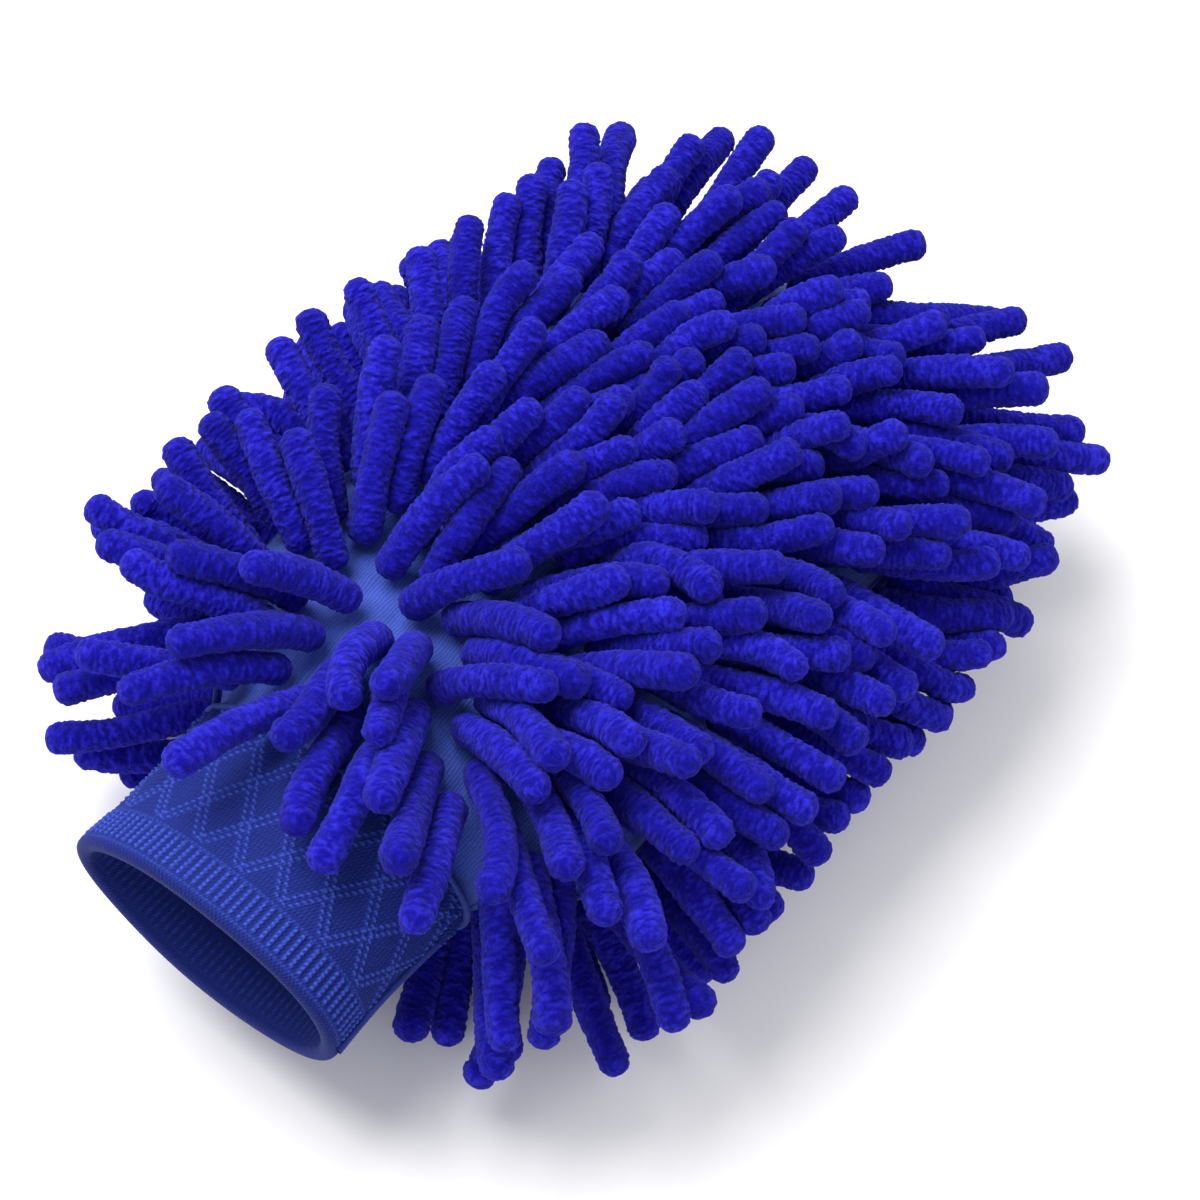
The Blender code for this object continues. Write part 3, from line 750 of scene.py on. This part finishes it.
def panels():
    """The pouch's two panels, each a double wall of tricot with a groove along every stitched row."""
    dark, light = (0.022, 0.050, 0.34), (0.062, 0.120, 0.56)
    material = knit_material("tricot", dark, light, 0.85, 0.65, sheen=0.20, roughness=0.65, strength=0.6)
    rows, columns = 190, 200
    s = np.concatenate(
        [
            np.linspace(0.0006, POUCH_LENGTH - NOSE_LENGTH, 150),
            POUCH_LENGTH - NOSE_LENGTH + NOSE_LENGTH * np.sin(np.linspace(0, math.pi / 2, 41)[1:]),
        ]
    )
    angle = np.linspace(-math.pi / 2, math.pi / 2, columns)
    covers = []
    for side, label in ((1, "top"), (-1, "bottom")):
        outer = pouch_point(s[:, None], angle[None, :], side)
        normal = pouch_normal(s[:, None] + 0 * angle[None, :], angle[None, :] + 0 * s[:, None], side)
        arcs = np.concatenate(
            [np.zeros((rows, 1)), np.cumsum(np.linalg.norm(np.diff(outer, axis=1), axis=-1), axis=1)], axis=1
        )
        arcs -= arcs[:, columns // 2 : columns // 2 + 1]
        lane = np.abs((arcs / LANE_SPACING) % 1 - 0.5) * LANE_SPACING
        groove = -0.0005 * np.exp(-((lane / 0.0016) ** 2))
        x, y = outer[..., 0], outer[..., 1]
        wrinkle = 0.00035 * np.sin(x * 420 + 3 * np.sin(y * 90)) * np.sin(y * 260 + 2 * np.sin(x * 70))
        ends = np.clip((POUCH_LENGTH - x) / 0.01, 0, 1) * np.clip(x / 0.004, 0, 1)
        edge = np.cos(angle)[None, :] ** 0.5 * ends
        outer = outer + normal * ((groove + wrinkle) * edge)[..., None]
        inner = outer - normal * PANEL_THICKNESS
        inner[..., 2] = side * np.maximum(SEAM_GAP, side * inner[..., 2])
        points = np.concatenate([outer.reshape(-1, 3), inner.reshape(-1, 3)])
        front = grid_quads(rows, columns)
        back = grid_quads(rows, columns, first=rows * columns)[:, ::-1]
        border = np.concatenate(
            [
                np.arange(columns),
                np.arange(1, rows) * columns + columns - 1,
                rows * columns - 2 - np.arange(columns - 1),
                (rows - 2 - np.arange(rows - 2)) * columns,
            ]
        )
        following = np.roll(border, -1)
        rim = np.stack([following, border, border + rows * columns, following + rows * columns], axis=1)
        quads = np.concatenate([front, back, rim])
        if side < 0:
            quads = quads[:, ::-1]
        obj = new_mesh(f"{label}_cover", points, quads)
        uv = np.stack([arcs * 1000, x * 1000], axis=-1).reshape(-1, 2)
        set_uv(obj, np.concatenate([uv, uv]))
        obj.data.materials.append(material)
        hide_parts(f"{label}_panel")
        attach(obj, "mitt")
        covers.append(obj)
    return covers


def oval(x, turn, grow):
    """Points of the mouth's oval, x and turn as arrays, grown outwards."""
    across = (MOUTH_HALF_WIDTH + grow) * np.cos(turn)
    up = (MOUTH_HALF_HEIGHT + grow) * np.sin(turn)
    return np.stack([x + 0 * turn, across, up], axis=-1)


def cuff_ring(x, turn, grow):
    """Points of the cuff and its gather, with the waist, the pleats at the mouth and a soft unevenness."""
    from_rim = x + GATHER_LENGTH + CUFF_LENGTH
    waist = -CUFF_WAIST * np.sin(math.pi * np.clip(from_rim / CUFF_LENGTH, 0, 1))
    wave = 0.0005 * np.sin(3 * turn + 1.0) + 0.0003 * np.sin(5 * turn + 2.0 + 30 * from_rim)
    gather = smoothstep((x + GATHER_LENGTH + 0.002) / 0.007)
    pleat = 0.0009 * gather * np.sin(34 * turn + 0.8 * np.sin(7 * turn))
    return oval(x, turn, grow + waist + wave + pleat)


def cuff_relief(u, d):
    """Height in millimetres of the cuff's knitted pattern, u around the cuff and d up from its rim."""
    rib = np.cos(2 * math.pi * u / RIB_PITCH)
    bars = np.clip(rib * 1.5 + 0.2, 0, 1)
    bars = bars * (0.72 + 0.28 * np.cos(2 * math.pi * d / 1.25 + 1.2 * np.sin(u)))
    band = smoothstep((d - 2.8) / 0.5) * (1 - smoothstep((d - 10.6) / 0.5))
    rim_twist = 0.12 * (1 - smoothstep((d - 1.6) / 0.5)) * np.cos(2 * math.pi * (u / 1.1 + d / 1.6))
    cords = np.exp(-(((d - 2.3) / 0.45) ** 2)) + np.exp(-(((d - 11.4) / 0.5) ** 2))
    cords = cords * (0.7 + 0.3 * np.cos(2 * math.pi * u / 1.22))
    lattice = smoothstep((d - 12.0) / 0.8)
    lines = 0 * (u + d)
    for way in (1, -1):
        share = u / DIAMOND_WIDTH + way * (d - 12) / DIAMOND_HEIGHT
        away = ((share + 0.5) % 1 - 0.5) * DIAMOND_WIDTH * 0.85
        for offset in (-0.85, 0.85):
            bead = 0.55 + 0.45 * np.cos(2 * math.pi * d / 1.35 + (offset + way) * 2.1)
            lines = np.maximum(lines, bead * np.exp(-(((away - offset) / 0.50) ** 2)))
    plain = 0.16 * np.cos(2 * math.pi * (u / 0.98 + 0.05 * d)) + 0.05 * np.cos(2 * math.pi * d / 0.9)
    field = np.maximum(0.62 * lines, plain * (1 - lines))
    return 0.60 * bars * band + 0.34 * cords + rim_twist + lattice * field


def cuff():
    """The knit cuff: outer wall with its rib band and raised lattice, rolled rim, and inner wall."""
    columns = 720
    turn = np.arange(columns) * 2 * math.pi / columns
    ring = oval(np.zeros(columns), turn, 0)
    steps = np.linalg.norm(np.roll(ring, -1, axis=0) - ring, axis=1)
    u = np.concatenate([[0], np.cumsum(steps)[:-1]]) / steps.sum() * CUFF_ROUND
    rim_x = -GATHER_LENGTH - CUFF_LENGTH
    roll = np.linspace(0, math.pi, 12)[1:-1]
    outer_x = np.linspace(-0.0004, rim_x + 0.0014, 172)
    inner_x = np.linspace(rim_x + 0.0016, -0.0006, 50)
    x = np.concatenate([outer_x, rim_x + 0.0014 * (1 - np.sin(roll)), inner_x])[:, None]
    turned_in = 0.0006 - 0.0021 * (1 - np.cos(roll))
    grow = np.concatenate([0 * outer_x + 0.0006, turned_in, 0 * inner_x - 0.0036])
    face = np.concatenate([0 * outer_x + 1, 0.4 - 0.2 * roll / math.pi, 0 * inner_x + 0.2])[:, None]
    relief = cuff_relief(u[None, :], (x - rim_x) * 1000)
    points = cuff_ring(x, turn[None, :], grow[:, None] + relief * face * 0.001)
    obj = new_mesh("cuff_knit", points, grid_quads(len(x), columns, wrap=True))
    along = np.cumsum(np.abs(np.diff(np.concatenate([x[:1], x])[:, 0]))) * 1000
    uv = np.stack([u[None, :] + 0 * relief, along[:, None] + 0 * relief], axis=-1)
    set_uv(obj, uv)
    # stitch height, lowered further on the rolled rim and inner wall; the cuff colour turns it into painted
    # shade in the hollows and inside the cuff
    point_attribute(obj, "relief", np.clip(0.25 + relief / 0.6 * 0.75, 0, 1) * (0.4 + 0.6 * face))
    obj.data.materials.append(cuff_material())
    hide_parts("cuff", "cuff_gather")
    blend_over_wrist(obj)
    return obj


def lining():
    """The two linings, lying loosely inside the panels."""
    dark, light = (0.012, 0.022, 0.20), (0.03, 0.05, 0.34)
    material = knit_material("lining_knit", dark, light, 1.1, 0.9, sheen=0.3, roughness=0.8, strength=0.4)
    rows, columns = 90, 110
    nose = np.sin(np.linspace(0, math.pi / 2, 31)[1:])
    body = POUCH_LENGTH - 0.035
    s = np.concatenate([np.linspace(0.0004, body, 60), body + 0.0325 * nose])
    angle = np.linspace(-math.pi / 2, math.pi / 2, columns)
    linings = []
    for side, label in ((1, "top"), (-1, "bottom")):
        outer = pouch_point(s[:, None], angle[None, :], side)
        normal = pouch_normal(s[:, None] + 0 * angle[None, :], angle[None, :] + 0 * s[:, None], side)
        x, y = outer[..., 0], outer[..., 1]
        wrinkle = 0.0005 * np.sin(x * 210 + 4 * np.sin(y * 60)) * np.sin(y * 190 + 3 * np.sin(x * 50))
        edge = np.cos(angle)[None, :] ** 0.5 * np.clip(x / 0.004, 0, 1)
        outer = outer - normal * (0.0026 + np.abs(wrinkle) * edge)[..., None]
        outer[..., 2] = side * np.maximum(SEAM_GAP, side * outer[..., 2])
        quads = grid_quads(rows, columns)
        if side < 0:
            quads = quads[:, ::-1]
        obj = new_mesh(f"{label}_lining", outer, quads)
        set_uv(obj, np.stack([y * 1000, x * 1000], axis=-1))
        obj.data.materials.append(material)
        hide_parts(f"{label}_liner")
        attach(obj, "mitt")
        linings.append(obj)
    return linings


def overlock(name, path, radius, pitch, material, node_name, body, closed=False):
    """A bead of overlock stitches along a path: a core wound with loops of thread."""
    path = np.asarray(path, float)
    if closed:
        path = np.concatenate([path, path[:1]])
    steps = np.linalg.norm(np.diff(path, axis=0), axis=1)
    along = np.concatenate([[0], np.cumsum(steps)])
    count = max(40, int(along[-1] / 0.00035))
    places = np.linspace(0, along[-1], count)
    line = np.stack([np.interp(places, along, path[:, k]) for k in range(3)], axis=1)
    tangent = unit(np.gradient(line, axis=0))
    up = np.array([0.05, 0.1, 1.0]) if abs(tangent[0, 2]) < 0.8 else np.array([1.0, 0, 0])
    side = unit(np.cross(tangent, up))
    if closed:
        centre = line.mean(0)
        side = unit(line - centre)
        side = unit(side - tangent * (side * tangent).sum(1)[:, None])
    other = np.cross(tangent, side)
    around = 12
    phi = np.arange(around) * 2 * math.pi / around
    wind = np.cos(phi[None, :] - places[:, None] / pitch * 2 * math.pi)
    grown = radius * (0.78 + 0.22 * np.abs(wind))
    rim = side[:, None] * np.cos(phi)[:, None] + other[:, None] * np.sin(phi)[:, None]
    points = line[:, None] + rim * grown[..., None]
    obj = new_mesh(name, points, grid_quads(count, around, wrap=True))
    round_it = np.broadcast_to(phi, grown.shape)
    along_it = np.broadcast_to(places[:, None] * 1000, grown.shape)
    set_uv(obj, np.stack([round_it, along_it], axis=-1))
    obj.data.materials.append(material)
    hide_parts(node_name)
    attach(obj, body)
    return obj


def seams():
    """The overlocked edges: round the pouch, round its mouth and down the cuff's side."""
    dark, light = (0.008, 0.018, 0.16), (0.025, 0.055, 0.34)
    material = knit_material("overlock_thread", dark, light, 0.6, 0.5, sheen=0.2, roughness=0.6, strength=0.4)
    corner = POUCH_LENGTH - CORNER_RADIUS
    nose = np.sin(np.linspace(0, math.pi / 2, 60)[1:])
    s = np.concatenate([np.linspace(0.004, corner, 120), corner + CORNER_RADIUS * nose])
    half = np.stack([s, half_width(s), 0 * s], axis=1)
    full = np.concatenate([half, half[::-1] * np.array([1, -1, 1])])
    along = unit(np.gradient(full, axis=0))
    outward = np.stack([along[:, 1], -along[:, 0], 0 * along[:, 0]], axis=1)
    outward *= np.sign((outward * (full - np.array([0.08, 0, 0]))).sum(1))[:, None]
    bead = {"radius": 0.0009, "pitch": 0.0016, "material": material}
    line = full + outward * 0.0013
    edge = overlock("edge_overlock", line, node_name="perimeter_seam", body="mitt", **bead)
    turn = np.linspace(0, 2 * math.pi, 160, endpoint=False)
    line = oval(0 * turn, turn, 0.0014)
    mouth = overlock("mouth_overlock", line, node_name="mouth_seam", body="mitt", closed=True, **bead)
    x = np.linspace(-GATHER_LENGTH - 0.0004, -GATHER_LENGTH - CUFF_LENGTH + 0.0014, 40)
    line = cuff_ring(x, 0 * x - math.pi, 0.0012)
    side = overlock("cuff_overlock", line, node_name="cuff_side_seam", body="cuff", **bead)
    return edge, mouth, side


def elastic():
    """Off-white woven elastic on the CAD's own band."""
    material, tree, shader = principled("woven_elastic", roughness=0.85, specular=0.2)
    coordinates = node(tree, "ShaderNodeTexCoord")
    weave = node(tree, "ShaderNodeTexNoise", Scale=900.0, Detail=2.0)
    tree.links.new(coordinates.outputs["Object"], weave.inputs["Vector"])
    colour = ramp(tree, weave.outputs["Fac"], [(0.3, (0.55, 0.55, 0.53)), (0.7, (0.80, 0.80, 0.78))])
    tree.links.new(colour, shader.inputs["Base Color"])
    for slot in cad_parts["cuff_elastic"].material_slots:
        slot.material = material


# ---------------------------------------------------------------- studio


def studio():
    """A pale floor, an even white sky and three soft round lamps."""
    bpy.ops.mesh.primitive_plane_add(size=6.0, location=(0, 0, -0.0002))
    floor = bpy.context.active_object
    floor.name = "floor"
    material, tree, shader = principled("floor_paper", roughness=0.9, specular=0.1)
    shader.inputs["Base Color"].default_value = (0.92, 0.92, 0.93, 1)
    floor.data.materials.append(material)

    world = bpy.data.worlds.new("studio")
    world.use_nodes = True
    world.node_tree.nodes["Background"].inputs["Color"].default_value = (1.0, 1.0, 1.0, 1)
    world.node_tree.nodes["Background"].inputs["Strength"].default_value = 0.50
    bpy.context.scene.world = world

    for name, place, size, power, tint in (
        ("key", (-0.05, 0.60, 1.05), 1.0, 19.5, (1.0, 0.99, 0.98)),
        ("fill", (-0.95, -0.35, 0.7), 0.8, 3.0, (0.98, 0.99, 1.0)),
        ("rim", (0.8, -0.6, 0.8), 1.0, 4.0, (1.0, 1.0, 1.0)),
    ):
        light = bpy.data.lights.new(name, "AREA")
        light.shape = "DISK"
        light.size = size
        light.energy = power
        light.color = tint
        lamp = bpy.data.objects.new(name, light)
        lamp.location = place
        lamp.rotation_mode = "QUATERNION"
        lamp.rotation_quaternion = (Vector(place) - Vector((0, 0, 0.04))).to_track_quat("Z", "Y")
        bpy.context.scene.collection.objects.link(lamp)


def camera():
    """Looks down on the mitt over its cuff, turned a little about the line of sight."""
    elevation, azimuth, roll = (math.radians(v) for v in (57.8, -60.7, 10.0))
    view = Vector(
        (
            -math.sin(azimuth) * math.cos(elevation),
            math.cos(azimuth) * math.cos(elevation),
            -math.sin(elevation),
        )
    )
    right = view.cross(Vector((0, 0, 1))).normalized()
    up = right.cross(view)
    rolled_right = right * math.cos(roll) + up * math.sin(roll)
    rolled_up = up * math.cos(roll) - right * math.sin(roll)
    data = bpy.data.cameras.new("camera")
    data.lens = 84.5
    data.sensor_width = 36.0
    obj = bpy.data.objects.new("camera", data)
    target = Vector(ORIGIN) + Vector((0.0870, -0.0104, 0))
    place = target - view * 0.6885
    axes = Matrix((rolled_right, rolled_up, -view)).transposed().to_4x4()
    obj.matrix_world = Matrix.Translation(place) @ axes
    bpy.context.scene.collection.objects.link(obj)
    bpy.context.scene.camera = obj


chenille()
panels()
lining()
cuff()
seams()
elastic()
studio()
camera()
bpy.context.scene.view_settings.view_transform = "Standard"
